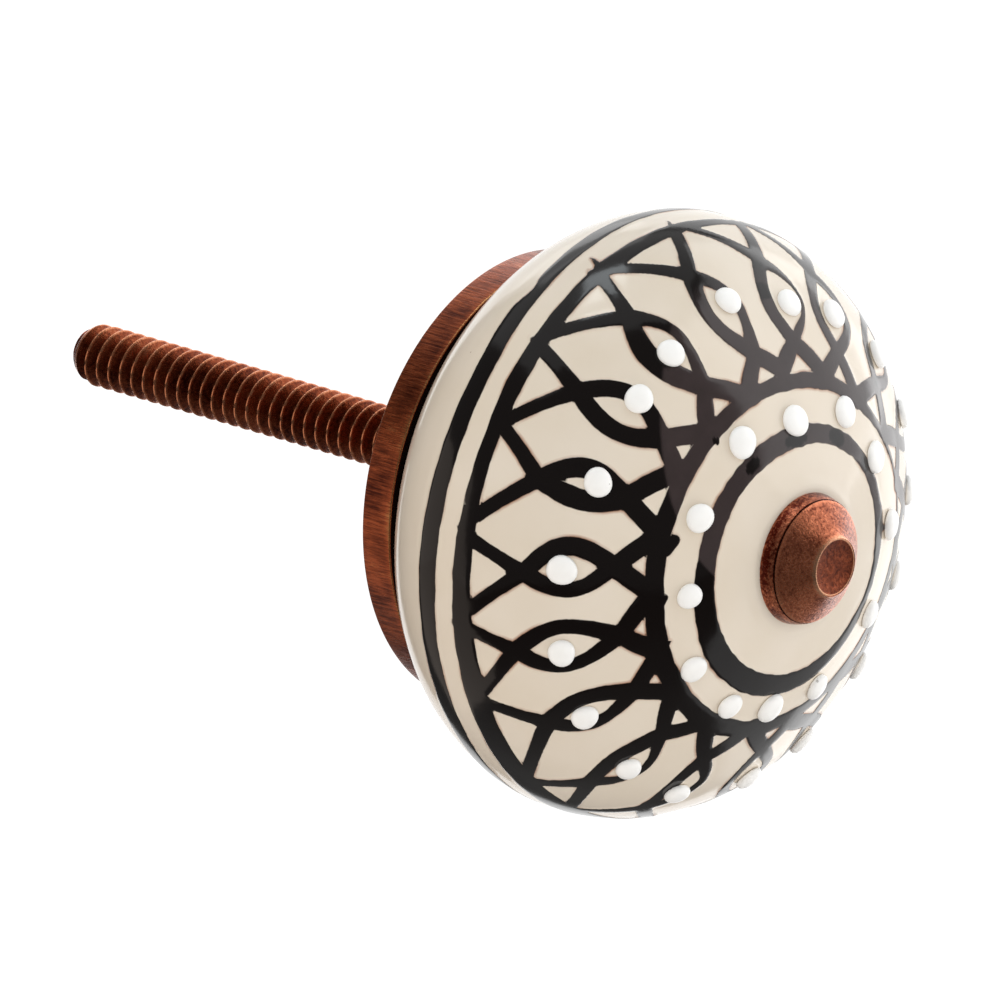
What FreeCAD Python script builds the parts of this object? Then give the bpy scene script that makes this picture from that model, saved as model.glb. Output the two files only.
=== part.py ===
import FreeCAD, Part
import os
import Sketcher

# Driving sizes in millimetres, or in degrees where the meaning says so.
SIZES = [
    ("knob_diameter", 40.0, "widest diameter of the ceramic"),
    ("belly_height", 8.7, "height of the widest circle above the foot"),
    ("back_radius", 9.0, "arc from the foot out to the widest circle"),
    ("shoulder_radius", 10.9, "arc from the widest circle to the crown"),
    ("crown_radius", 26.2, "arc across the front"),
    ("seat_radius", 4.8, "flat under the cap"),
    ("bore_clearance", 0.3, "radial room for the rod in the ceramic"),
    ("dot_diameter", 2.1, "raised enamel dots, across at the glaze"),
    ("dot_top", 1.1, "raised enamel dots, across at the top"),
    ("dot_rise", 0.6, "raised enamel dots, above the glaze"),
    ("dot_root", 0.2, "raised enamel dots, sunk into the glaze"),
    ("inner_dot_count", 12, "dots in the ring round the front"),
    ("inner_dot_lean", 22.0, "degrees from the axis to the inner dots"),
    ("inner_dot_turn", 27.0, "degrees round the axis to the first inner dot"),
    ("eye_dot_count", 18, "dots in the eyes of the painted lattice"),
    ("eye_dot_lean", 42.0, "degrees from the axis to the eye dots"),
    ("eye_dot_turn", 12.0, "degrees round the axis to the first eye dot"),
    ("base_diameter", 30.0, "metal base, across"),
    ("base_height", 2.5, "metal base, rear rim to ceramic"),
    ("base_wall", 1.0, "side wall of the metal base"),
    ("base_web", 0.9, "front wall of the metal base"),
    ("base_fall", 0.28, "drop of the base's front face towards its edge"),
    ("base_fall_width", 1.6, "band of the base's front face that drops"),
    ("rim_bevel", 0.15, "bevel of the base's rear rim"),
    ("base_clearance", 0.2, "radial room for the rod in the base"),
    ("thread_diameter", 4.1, "crest diameter of the rod"),
    ("thread_engagement", 0.5, "diameter lost where the rod sits in a mating thread"),
    ("tail_length", 37.1, "rod behind the rear rim"),
    ("tip_bevel_length", 1.1, "bevel at the rod's rear end, along the axis"),
    ("tip_bevel_depth", 0.6, "bevel at the rod's rear end, across the axis"),
    ("rod_dish_radius", 1.4, "hollow in the rod's front end, radius"),
    ("rod_dish_depth", 0.15, "hollow in the rod's front end, depth"),
    ("nut_flats", 7.0, "across the nut's flats"),
    ("nut_thickness", 1.5, "thickness of the nut"),
    ("nut_bevel", 0.3, "bevel of the nut's corners, along the axis"),
    ("cap_diameter", 8.7, "rim of the cap"),
    ("cap_rim_height", 0.9, "rim of the cap, along the axis"),
    ("cap_rim_bevel", 0.2, "bevel at the top of the rim"),
    ("seam_depth", 0.18, "groove between rim and cone, across the axis"),
    ("seam_width", 0.12, "groove between rim and cone, along the axis"),
    ("cone_diameter", 8.25, "foot of the cone"),
    ("cap_height", 2.7, "seat to the lip of the crater"),
    ("lip_diameter", 3.9, "top of the cone"),
    ("lip_width", 0.08, "flat top of the lip"),
    ("crater_depth", 0.2, "lip to the rod's end"),
]

doc = FreeCAD.newDocument("cabinet_knob")
sheet = doc.addObject("Spreadsheet::Sheet", "Sizes")
for row, (alias, number, meaning) in enumerate(SIZES, start=1):
    sheet.set(f"A{row}", meaning)
    sheet.set(f"B{row}", str(number))
    sheet.setAlias(f"B{row}", alias)
doc.recompute()

# Radii and heights that follow from the driving sizes, as formulas of the sheet's cells.
KNOB_RADIUS = "(Sizes.knob_diameter / 2)"
BASE_RADIUS = "(Sizes.base_diameter / 2)"
CAP_RADIUS = "(Sizes.cap_diameter / 2)"
CONE_RADIUS = "(Sizes.cone_diameter / 2)"
LIP_RADIUS = "(Sizes.lip_diameter / 2)"
ROD_RADIUS = "(Sizes.thread_diameter / 2)"
MATE_RADIUS = "((Sizes.thread_diameter - Sizes.thread_engagement) / 2)"
SHOULDER_CENTRE = f"({KNOB_RADIUS} - Sizes.shoulder_radius)"
CROWN_CENTRE = (
    "(Sizes.belly_height"
    f" - sqrt(pow(Sizes.crown_radius - Sizes.shoulder_radius; 2) - pow({SHOULDER_CENTRE}; 2)))"
)
SEAT_HEIGHT = f"({CROWN_CENTRE} + sqrt(pow(Sizes.crown_radius; 2) - pow(Sizes.seat_radius; 2)))"
CAP_SEAT = f"(Sizes.base_height + {SEAT_HEIGHT})"
WEB_BACK = "(Sizes.base_height - Sizes.base_web)"
DOT_FLARE = "((Sizes.dot_diameter - Sizes.dot_top) / 2 * Sizes.dot_root / Sizes.dot_rise)"


def value(formula):
    """The number that a formula of the sheet's cells gives now."""
    return float(sheet.evalExpression(formula))


def new_body(node, distance_behind_rim):
    """A body drawn standing on its own rear face, laid with its front towards -Y."""
    body = doc.addObject("PartDesign::Body", node)
    body.Label = node
    body.Placement.Rotation = FreeCAD.Rotation(FreeCAD.Vector(1, 0, 0), 90)
    body.setExpression("Placement.Base.y", distance_behind_rim)
    return body


def origin_feature(body, role):
    return next(feature for feature in body.Origin.OriginFeatures if feature.Role == role)


def upright_sketch(body, name):
    """A sketch through the body's axis: distance from the axis across, height up."""
    sketch = body.newObject("Sketcher::SketchObject", name)
    sketch.AttachmentSupport = [(origin_feature(body, "XZ_Plane"), "")]
    sketch.MapMode = "FlatFace"
    return sketch


def bind(sketch, kind, elements, name, formula):
    """A dimension in a sketch that follows a formula of the sheet's cells."""
    index = sketch.addConstraint(Sketcher.Constraint(kind, *elements, value(formula)))
    sketch.renameConstraint(index, name)
    sketch.setExpression(f"Constraints.{name}", formula)


def straight_outline(sketch, name, corners):
    """A closed outline of straight lines whose corners are pairs of formulas."""
    points = [FreeCAD.Vector(value(across), value(up), 0) for across, up in corners]
    first = sketch.GeometryCount
    count = len(points)
    for index, point in enumerate(points):
        sketch.addGeometry(Part.LineSegment(point, points[(index + 1) % count]))
    for index in range(count):
        follower = first + (index + 1) % count
        sketch.addConstraint(Sketcher.Constraint("Coincident", first + index, 2, follower, 1))
    for index, (across, up) in enumerate(corners):
        corner = (first + index, 1)
        for kind, axis, letter, formula in (("DistanceX", -2, "r", across), ("DistanceY", -1, "h", up)):
            if formula == "0":
                sketch.addConstraint(Sketcher.Constraint("PointOnObject", *corner, axis))
            else:
                bind(sketch, kind, (-1, 1, *corner), f"{name}_{letter}{index}", formula)


def turn(body, sketch, name, kind="PartDesign::Revolution"):
    """Material added or cut by turning a sketch once round the body's axis."""
    feature = body.newObject(kind, name)
    feature.Profile = sketch
    feature.ReferenceAxis = (sketch, ["V_Axis"])
    feature.Angle = 360
    return feature


def dot_ring(body, name, arc_across, arc_up, arc_radius):
    """Raised dots set evenly round the axis on one arc of the ceramic, square to its surface."""
    reach = f"({arc_radius} - Sizes.dot_root)"
    across = f"({arc_across} + {reach} * sin(Sizes.{name}_lean))"
    up = f"({arc_up} + {reach} * cos(Sizes.{name}_lean))"
    place = f"vector({across} * cos(Sizes.{name}_turn); {across} * sin(Sizes.{name}_turn); {up})"
    lean = f"rotation(Sizes.{name}_turn; Sizes.{name}_lean; 0)"
    dot = body.newObject("PartDesign::AdditiveCone", name)
    dot.setExpression("Radius1", f"Sizes.dot_diameter / 2 + {DOT_FLARE}")
    dot.setExpression("Radius2", "Sizes.dot_top / 2")
    dot.setExpression("Height", "Sizes.dot_rise + Sizes.dot_root")
    dot.setExpression("Placement", f"placement({place}; {lean})")
    ring = body.newObject("PartDesign::PolarPattern", f"{name}_ring")
    ring.Originals = [dot]
    ring.Axis = (origin_feature(body, "Z_Axis"), [""])
    ring.Angle = 360
    ring.setExpression("Occurrences", f"Sizes.{name}_count")
    body.Tip = ring


def make_ceramic():
    """The ceramic, turned from a flat foot, two side arcs, a crown and a flat under the cap."""
    body = new_body("ceramic_knob", "-Sizes.base_height")
    sketch = upright_sketch(body, "ceramic_outline")
    bore_radius = f"({ROD_RADIUS} + Sizes.bore_clearance)"
    bore = value(bore_radius)
    knob = value(KNOB_RADIUS)
    belly = value("Sizes.belly_height")
    back = value("Sizes.back_radius")
    shoulder = value("Sizes.shoulder_radius")
    crown = value("Sizes.crown_radius")
    seat = value("Sizes.seat_radius")
    seat_height = value(SEAT_HEIGHT)
    foot = knob - back + (back**2 - belly**2) ** 0.5
    back_centre = FreeCAD.Vector(knob - back, belly, 0)
    shoulder_centre = FreeCAD.Vector(knob - shoulder, belly, 0)
    crown_centre = FreeCAD.Vector(0, value(CROWN_CENTRE), 0)
    across = FreeCAD.Vector(1, 0, 0)
    foot_angle = -(FreeCAD.Vector(foot, 0, 0) - back_centre).getAngle(across)
    crown_angle = (shoulder_centre - crown_centre).getAngle(across)
    seat_angle = (FreeCAD.Vector(seat, seat_height, 0) - crown_centre).getAngle(across)
    up = FreeCAD.Vector(0, 0, 1)
    foot_line, back_arc, shoulder_arc, crown_arc, seat_line, bore_line = range(6)
    sketch.addGeometry(Part.LineSegment(FreeCAD.Vector(bore, 0, 0), FreeCAD.Vector(foot, 0, 0)))
    sketch.addGeometry(Part.ArcOfCircle(Part.Circle(back_centre, up, back), foot_angle, 0))
    sketch.addGeometry(Part.ArcOfCircle(Part.Circle(shoulder_centre, up, shoulder), 0, crown_angle))
    sketch.addGeometry(Part.ArcOfCircle(Part.Circle(crown_centre, up, crown), crown_angle, seat_angle))
    seat_edge = FreeCAD.Vector(seat, seat_height, 0)
    bore_top = FreeCAD.Vector(bore, seat_height, 0)
    sketch.addGeometry(Part.LineSegment(seat_edge, bore_top))
    sketch.addGeometry(Part.LineSegment(bore_top, FreeCAD.Vector(bore, 0, 0)))
    constrain = Sketcher.Constraint
    sketch.addConstraint([
        constrain("Coincident", foot_line, 2, back_arc, 1),
        constrain("Tangent", back_arc, 2, shoulder_arc, 1),
        constrain("Tangent", shoulder_arc, 2, crown_arc, 1),
        constrain("Coincident", crown_arc, 2, seat_line, 1),
        constrain("Coincident", seat_line, 2, bore_line, 1),
        constrain("Coincident", bore_line, 2, foot_line, 1),
        constrain("PointOnObject", foot_line, 1, -1),
        constrain("Horizontal", foot_line),
        constrain("Horizontal", seat_line),
        constrain("Vertical", bore_line),
        constrain("PointOnObject", crown_arc, 3, -2),
        constrain("Horizontal", back_arc, 3, back_arc, 2),
    ])
    bind(sketch, "DistanceX", (-1, 1, foot_line, 1), "bore_radius", bore_radius)
    bind(sketch, "DistanceX", (-1, 1, back_arc, 2), "knob_radius", KNOB_RADIUS)
    bind(sketch, "DistanceY", (-1, 1, back_arc, 2), "belly_height", "Sizes.belly_height")
    bind(sketch, "Radius", (back_arc,), "back_radius", "Sizes.back_radius")
    bind(sketch, "Radius", (shoulder_arc,), "shoulder_radius", "Sizes.shoulder_radius")
    bind(sketch, "Radius", (crown_arc,), "crown_radius", "Sizes.crown_radius")
    bind(sketch, "DistanceX", (-1, 1, crown_arc, 2), "seat_radius", "Sizes.seat_radius")
    turn(body, sketch, "ceramic_form")
    dot_ring(body, "inner_dot", "0", CROWN_CENTRE, "Sizes.crown_radius")
    dot_ring(body, "eye_dot", SHOULDER_CENTRE, "Sizes.belly_height", "Sizes.shoulder_radius")
    return body


def make_base():
    """The metal base: a shallow cup with its mouth towards the drawer front."""
    body = new_body("base_cup", "0")
    hole = f"({ROD_RADIUS} + Sizes.base_clearance)"
    inside = f"({BASE_RADIUS} - Sizes.base_wall)"
    sketch = upright_sketch(body, "base_outline")
    straight_outline(sketch, "base", [
        (hole, WEB_BACK),
        (inside, WEB_BACK),
        (inside, "0"),
        (f"({BASE_RADIUS} - Sizes.rim_bevel)", "0"),
        (BASE_RADIUS, "Sizes.rim_bevel"),
        (BASE_RADIUS, "(Sizes.base_height - Sizes.base_fall)"),
        (f"({BASE_RADIUS} - Sizes.base_fall_width)", "Sizes.base_height"),
        (hole, "Sizes.base_height"),
    ])
    turn(body, sketch, "base_form")
    return body


def make_rod():
    """The rod: full diameter where its crests run free, less where it sits in a mating thread."""
    body = new_body("threaded_rod", "Sizes.tail_length")
    nut_back = f"(Sizes.tail_length + {WEB_BACK} - Sizes.nut_thickness)"
    nut_front = f"(Sizes.tail_length + {WEB_BACK})"
    cap_seat = f"(Sizes.tail_length + {CAP_SEAT})"
    front = f"({cap_seat} + Sizes.cap_height - Sizes.crater_depth)"
    sketch = upright_sketch(body, "rod_outline")
    straight_outline(sketch, "rod", [
        ("0", "0"),
        (f"({ROD_RADIUS} - Sizes.tip_bevel_depth)", "0"),
        (ROD_RADIUS, "Sizes.tip_bevel_length"),
        (ROD_RADIUS, nut_back),
        (MATE_RADIUS, nut_back),
        (MATE_RADIUS, nut_front),
        (ROD_RADIUS, nut_front),
        (ROD_RADIUS, cap_seat),
        (MATE_RADIUS, cap_seat),
        (MATE_RADIUS, front),
        ("Sizes.rod_dish_radius", front),
        ("0", f"({front} - Sizes.rod_dish_depth)"),
    ])
    turn(body, sketch, "rod_form")
    return body


def make_nut():
    """The thin nut that pulls the stack together, with both faces bevelled at the corners."""
    body = new_body("clamp_nut", f"Sizes.nut_thickness - {WEB_BACK}")
    corner = "(Sizes.nut_flats / sqrt(3))"
    flat = "(Sizes.nut_flats / 2)"
    block = body.newObject("PartDesign::AdditivePrism", "nut_block")
    block.Polygon = 6
    block.setExpression("Circumradius", corner)
    block.setExpression("Height", "Sizes.nut_thickness")
    sketch = upright_sketch(body, "nut_bevels")
    straight_outline(sketch, "rear", [(flat, "0"), (corner, "0"), (corner, "Sizes.nut_bevel")])
    straight_outline(sketch, "front", [
        (flat, "Sizes.nut_thickness"),
        (corner, "(Sizes.nut_thickness - Sizes.nut_bevel)"),
        (corner, "Sizes.nut_thickness"),
    ])
    turn(body, sketch, "nut_corners", "PartDesign::Groove")
    bore = body.newObject("PartDesign::SubtractiveCylinder", "nut_bore")
    bore.setExpression("Radius", MATE_RADIUS)
    bore.setExpression("Height", "Sizes.nut_thickness")
    return body


def make_cap():
    """The cap: a rim, a fine seam, a cone and a crater that shows the rod's end."""
    body = new_body("front_cap", f"-{CAP_SEAT}")
    seam_floor = f"({CONE_RADIUS} - Sizes.seam_depth)"
    seam_top = "(Sizes.cap_rim_height + Sizes.seam_width)"
    sketch = upright_sketch(body, "cap_outline")
    straight_outline(sketch, "cap", [
        (MATE_RADIUS, "0"),
        (CAP_RADIUS, "0"),
        (CAP_RADIUS, "(Sizes.cap_rim_height - Sizes.cap_rim_bevel)"),
        (f"({CAP_RADIUS} - Sizes.cap_rim_bevel)", "Sizes.cap_rim_height"),
        (seam_floor, "Sizes.cap_rim_height"),
        (seam_floor, seam_top),
        (CONE_RADIUS, seam_top),
        (LIP_RADIUS, "Sizes.cap_height"),
        (f"({LIP_RADIUS} - Sizes.lip_width)", "Sizes.cap_height"),
        (MATE_RADIUS, "(Sizes.cap_height - Sizes.crater_depth)"),
    ])
    turn(body, sketch, "cap_form")
    return body


bodies = [make_ceramic(), make_base(), make_rod(), make_nut(), make_cap()]
doc.recompute()

for item in doc.Objects:
    if {"Invalid", "Error"} & set(item.State):
        raise RuntimeError(f"{item.Name} failed: {item.State}")
for sketch in doc.findObjects("Sketcher::SketchObject"):
    if sketch.solve() != 0:
        raise RuntimeError(f"{sketch.Name} has constraints that disagree")
for body in bodies:
    if body.Shape.isNull() or not body.Shape.isValid() or len(body.Shape.Solids) != 1:
        raise RuntimeError(f"{body.Label} is not one sound solid")

os.makedirs("parts", exist_ok=True)
for body in bodies:
    body.Shape.exportStep(f"parts/{body.Label}.step")
    print(body.Label, "volume", round(body.Shape.Volume, 2), "box", body.Shape.BoundBox)
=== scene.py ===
import math

import bpy
import numpy as np
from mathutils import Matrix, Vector


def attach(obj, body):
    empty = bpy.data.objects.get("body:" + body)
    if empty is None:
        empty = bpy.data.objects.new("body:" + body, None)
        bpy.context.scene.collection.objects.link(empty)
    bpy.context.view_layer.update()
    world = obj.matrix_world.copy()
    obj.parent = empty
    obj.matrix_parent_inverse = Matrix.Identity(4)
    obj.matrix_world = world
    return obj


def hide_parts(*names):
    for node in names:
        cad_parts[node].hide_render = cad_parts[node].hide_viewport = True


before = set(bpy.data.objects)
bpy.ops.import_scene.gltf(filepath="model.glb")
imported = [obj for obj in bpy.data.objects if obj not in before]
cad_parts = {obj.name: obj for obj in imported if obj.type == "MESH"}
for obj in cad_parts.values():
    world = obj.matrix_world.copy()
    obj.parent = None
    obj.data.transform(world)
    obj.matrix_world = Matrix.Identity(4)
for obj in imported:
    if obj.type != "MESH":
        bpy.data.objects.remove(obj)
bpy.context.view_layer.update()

MM = 0.001
TURN = 2 * math.pi
SEED = 11

# Sizes in millimetres, the same as the part's own. Heights count forwards from the rear rim.
BASE_RADIUS, BASE_HEIGHT, BASE_WALL, BASE_WEB, BASE_HOLE = 15.0, 2.5, 1.0, 0.9, 2.25
KNOB_RADIUS, BELLY_HEIGHT = 20.0, 8.7
BACK_RADIUS, SHOULDER_RADIUS, CROWN_RADIUS, SEAT_RADIUS, BORE_RADIUS = 9.0, 10.9, 26.2, 4.8, 2.35
DOT_RADIUS, DOT_RISE, DOT_ROOT = 0.97, 0.52, 0.2
CAP_RADIUS, CAP_RIM, CONE_RADIUS, CAP_HEIGHT, LIP_RADIUS = 4.35, 0.9, 4.125, 2.7, 1.95
SEAM_DEPTH, SEAM_WIDTH = 0.18, 0.12
ROD_RADIUS, MATE_RADIUS, TAIL_LENGTH = 2.05, 1.8, 37.1
NUT_THICKNESS = 1.5

# Finer forms, in millimetres: the base's front falls towards its edge, the rod's front end is
# dished and lies under the cap's lip, and its thread and tapered tip are cut into the bar.
BASE_FALL, BASE_FALL_WIDTH = 0.12, 1.6
DISH_DEPTH, ROD_RECESS = 0.1, 0.04
THREAD_PITCH, THREAD_DEPTH, TIP_LENGTH, TIP_DEPTH = 1.0, 0.58, 1.1, 0.6

# The ceramic's outline: three arcs that run into each other, measured from its foot.
CROWN_CENTRE = BELLY_HEIGHT - math.sqrt(
    (CROWN_RADIUS - SHOULDER_RADIUS) ** 2 - (KNOB_RADIUS - SHOULDER_RADIUS) ** 2
)
SEAT_HEIGHT = BASE_HEIGHT + CROWN_CENTRE + math.sqrt(CROWN_RADIUS**2 - SEAT_RADIUS**2)
CROWN_LEAN = math.atan2(KNOB_RADIUS - SHOULDER_RADIUS, BELLY_HEIGHT - CROWN_CENTRE)
CROWN_END = CROWN_RADIUS * CROWN_LEAN
BELLY_END = CROWN_END + SHOULDER_RADIUS * (math.pi / 2 - CROWN_LEAN)
FOOT_LEAN = math.asin(BELLY_HEIGHT / BACK_RADIUS)
FOOT_END = BELLY_END + BACK_RADIUS * FOOT_LEAN

# The ornament is placed as it would lie unrolled: degrees round the knob, counted from the side
# that faces away to the right, and millimetres along the glaze from the axis.
ORNAMENT_START = -24.95


def linear(code):
    """The linear colour of an sRGB hex value: each channel by the sRGB curve."""
    channels = np.array([int(code[i:i + 2], 16) for i in (1, 3, 5)]) / 255
    curved = np.where(channels <= 0.04045, channels / 12.92, ((channels + 0.055) / 1.055) ** 2.4)
    return (*curved.tolist(), 1.0)


def node(tree, kind, inputs=None, **settings):
    """Adds a shader node; inputs are numbers, colours or the sockets of other nodes."""
    made = tree.nodes.new("ShaderNode" + kind)
    for name, value in settings.items():
        setattr(made, name, value)
    for name, value in (inputs or {}).items():
        if isinstance(value, bpy.types.NodeSocket):
            tree.links.new(value, made.inputs[name])
        else:
            made.inputs[name].default_value = value
    return made


def finish_named(name):
    """A new material with an empty node tree."""
    material = bpy.data.materials.new(name)
    material.use_nodes = True
    material.node_tree.nodes.clear()
    return material, material.node_tree


def placed(name, data):
    """A new object in the scene, at the origin."""
    made = bpy.data.objects.new(name, data)
    bpy.context.scene.collection.objects.link(made)
    return made


def short_way(turn):
    """Degrees brought between -180 and 180."""
    return (turn + 180) % 360 - 180


def smooth_step(low, high, value):
    """0 below low, 1 above high, 3t^2 - 2t^3 between."""
    t = np.clip((value - low) / (high - low), 0, 1)
    return t * t * (3 - 2 * t)


def curve_through(stations, steps=8):
    """Points on the curve that passes each station with the slope of the line between its
    neighbours, cubic in between: p(t) = a + b t + c t^2 + d t^3 on each stretch."""
    p = np.asarray(stations, float)
    p = np.vstack([2 * p[0] - p[1], p, 2 * p[-1] - p[-2]])
    t = np.linspace(0, 1, steps, endpoint=False)[None, :, None]
    a, b, c, d = (p[i:len(p) - 3 + i, None, :] for i in range(4))
    line = 0.5 * (
        2 * b + (c - a) * t + (2 * a - 5 * b + 4 * c - d) * t**2 + (3 * b - a - 3 * c + d) * t**3
    )
    return np.vstack([line.reshape(-1, p.shape[1]), p[-2]])


def ring_curve(stations):
    """A closed curve of height over degrees, as a function: the stations repeat every 360."""
    p = np.asarray(stations, float)
    p = np.vstack([p[-2:] - (360, 0), p, p[:2] + (360, 0)])
    line = curve_through(p)
    return lambda degrees: np.interp(np.mod(degrees, 360), line[:, 0], line[:, 1])


def rounded(corners, steps=5):
    """An outline with its corners rounded: each corner (across, height, reach) becomes the
    curve (1-t)^2 a + 2 t (1-t) corner + t^2 b, where a and b lie reach before and after it."""
    p = np.asarray(corners, float)
    xy, reach = p[:, :2], p[:, 2:]
    before = np.roll(xy, 1, axis=0) - xy
    after = np.roll(xy, -1, axis=0) - xy
    a = xy + before / np.linalg.norm(before, axis=1, keepdims=True) * reach
    b = xy + after / np.linalg.norm(after, axis=1, keepdims=True) * reach
    t = np.linspace(0, 1, steps)[None, :, None]
    curves = (1 - t) ** 2 * a[:, None] + 2 * t * (1 - t) * xy[:, None] + t**2 * b[:, None]
    return curves.reshape(-1, 2)


def divided(outline, longest):
    """The closed outline with every run cut into equal pieces no longer than longest."""
    runs = np.roll(outline, -1, axis=0) - outline
    counts = np.maximum(1, np.ceil(np.linalg.norm(runs, axis=1) / longest)).astype(int)
    start = np.repeat(np.arange(len(outline)), counts)
    part = np.arange(counts.sum()) - np.repeat(np.cumsum(counts) - counts, counts)
    return outline[start] + runs[start] * (part / counts[start])[:, None]


def turned_points(across, forward, angle):
    """Rows of (across, forward) carried round the axis: x = r cos a, y = -forward, z = r sin a."""
    across, forward, angle = np.broadcast_arrays(across, forward, angle)
    return np.stack([across * np.cos(angle), -forward, across * np.sin(angle)], axis=-1)


def meshed(name, vertices, faces, material, sharp, fields=None):
    """An object of vertices in millimetres, smooth except at edges of more than sharp degrees.
    Fields are numbers at each vertex that its material reads."""
    mesh = bpy.data.meshes.new(name)
    mesh.from_pydata((vertices * MM).tolist(), [], faces)
    for key, value in (fields or {}).items():
        mesh.attributes.new(key, "FLOAT", "POINT").data.foreach_set("value", value.astype(np.float32))
    mesh.materials.append(material)
    mesh.shade_smooth()
    mesh.set_sharp_from_angle(angle=math.radians(sharp))
    return placed(name, mesh)


def surface(name, points, material, fields, closed=True):
    """A mesh from a grid of points, rows by columns. Columns go round and close. With closed, the
    last row meets the first; otherwise the end rows shrink to one point each."""
    rows, columns = points.shape[:2]
    index = np.arange(rows * columns).reshape(rows, columns)
    right = np.roll(index, -1, axis=1)
    below = np.roll(index, -1, axis=0)
    below_right = np.roll(right, -1, axis=0)
    last = rows if closed else rows - 1
    quads = np.stack([index, right, below_right, below], axis=-1)[:last].reshape(-1, 4)
    vertices = points.reshape(-1, 3)
    values = {key: value.reshape(-1) for key, value in fields.items()}
    if closed:
        faces = quads.tolist()
    else:
        keep = np.ones(len(vertices), bool)
        keep[1:columns] = False
        keep[-columns + 1:] = False
        place = np.cumsum(keep) - 1
        place[:columns] = 0
        place[-columns:] = keep.sum() - 1
        quads = place[quads]
        faces = [list(dict.fromkeys(face)) for face in quads.tolist()]
        vertices = vertices[keep]
        values = {key: value[keep] for key, value in values.items()}
    return meshed(name, vertices, faces, material, 40, values)


def joined(name, grids, material):
    """Several grids, each with its end rows shrunk to a point, as one mesh."""
    vertices, faces, first = [], [], 0
    for points in grids:
        rows, columns = points.shape[:2]
        index = first + 1 + np.arange((rows - 2) * columns).reshape(rows - 2, columns)
        right = np.roll(index, -1, axis=1)
        quads = np.stack([index[:-1], right[:-1], right[1:], index[1:]], axis=-1).reshape(-1, 4)
        top = np.full(columns, first)
        bottom = np.full(columns, first + 1 + (rows - 2) * columns)
        faces += quads.tolist()
        faces += np.stack([top, right[0], index[0]], axis=-1).tolist()
        faces += np.stack([index[-1], right[-1], bottom], axis=-1).tolist()
        vertices.append(np.vstack([points[0, :1], points[1:-1].reshape(-1, 3), points[-1, :1]]))
        first = int(bottom[0]) + 1
    return meshed(name, np.vstack(vertices), faces, material, 60)


def glaze_outline(s):
    """Distance across, height and outward slope of the glaze at s millimetres from the axis:
    the crown arc to CROWN_END, the shoulder arc to BELLY_END, then the back arc."""
    crown = s / CROWN_RADIUS
    shoulder = CROWN_LEAN + (s - CROWN_END) / SHOULDER_RADIUS
    back = math.pi / 2 + (s - BELLY_END) / BACK_RADIUS
    lean = np.select([s < CROWN_END, s < BELLY_END], [crown, shoulder], back)
    radius = np.select([s < CROWN_END, s < BELLY_END], [CROWN_RADIUS, SHOULDER_RADIUS], BACK_RADIUS)
    centre = np.where(s < CROWN_END, 0, KNOB_RADIUS - radius)
    height = np.where(s < CROWN_END, CROWN_CENTRE, BELLY_HEIGHT)
    return centre + radius * np.sin(lean), BASE_HEIGHT + height + radius * np.cos(lean), lean


# The painted pattern, by the painter's own strokes. Angles in degrees, the rest in millimetres.
# Edges of the four painted rings, inner then outer, as (degrees, distance along the glaze).
RING_EDGES = [
    (
        [(0, 8.7), (42.2, 8.32), (82.8, 8), (122.1, 7.98), (160.7, 7.97), (199.1, 7.8),
         (237.6, 7.48), (277, 7.66), (307.4, 7.99), (338.7, 8.3)],
        [(0, 9.58), (42.1, 9.7), (82.5, 9.62), (121.8, 9.68), (150.9, 9.49), (179.9, 9.31),
         (213.7, 9.05), (247.7, 8.87), (287.4, 8.91), (317.9, 9.18), (338.9, 9.69)],
    ),
    (
        [(0, 12.67), (47, 11.87), (82.2, 11.64), (121.5, 11.64), (160.5, 11.64), (199.4, 11.44),
         (238.3, 11.25), (262.9, 11.15), (297.7, 11.38), (334.2, 12.83)],
        [(0, 13.91), (46.6, 13.08), (87, 13.03), (127.3, 13.05), (164.4, 12.99), (183.8, 12.86),
         (201.4, 12.64), (219.9, 12.49), (248.2, 12.22), (277.8, 12.22), (299.8, 12.29),
         (323.9, 12.81)],
    ),
    (
        [(0, 25), (40, 24.62), (85, 24.09), (120.5, 24.31), (140.3, 24.43), (160.1, 24.64),
         (180, 24.61), (199.8, 24.43), (214.6, 24.36), (234.5, 24.13), (264.5, 24.23),
         (310, 24.6)],
        [(0, 26.2), (40, 26.04), (85, 26.41), (120.5, 26.12), (140.3, 26.05), (155.2, 26.02),
         (170, 25.87), (184.9, 25.7), (199.8, 25.7), (214.7, 25.52), (244.4, 25.34),
         (270, 24.98), (310, 25.94)],
    ),
    (
        [(0, 28.4), (60, 28.59), (110.2, 27.83), (130.4, 27.69), (150.2, 27.54), (165.1, 27.4),
         (180, 27.24), (194.8, 27.15), (229.5, 27.28), (260, 27.46), (310, 27.99)],
        [(0, 29.6), (60, 29.5), (115.2, 29.3), (130.5, 29.2), (150.2, 29.12), (165.1, 29.05),
         (180, 28.82), (194.8, 28.67), (205, 28.72), (211, 28.75), (216, 28.22), (220, 28.45),
         (226, 28.6), (240, 28.7), (260, 28.5), (310, 29.2)],
    ),
]
# Ripples along a ring's edges: how many go round, and how far the inner and outer edge waver.
RIPPLES, INNER_RIPPLE, OUTER_RIPPLE = (11, 23, 47), 0.016, 0.02

# Tips of the tall cream leaves between two motifs: (degrees, distance), where two strands meet.
LEAF_TIPS = [
    (76.6, 13.19), (98.2, 13.57), (119.4, 13.69), (135.6, 13.46), (156.1, 13.51), (174.6, 13.43),
    (194.6, 13.77), (210.6, 13.29), (230.7, 13.08), (248.9, 13.63), (269, 13.2), (287.8, 12.84),
    (310.3, 13.58), (329, 14.14), (348, 14.6), (368.2, 14.6), (391.6, 14.34), (416.4, 14.08),
]

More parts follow.
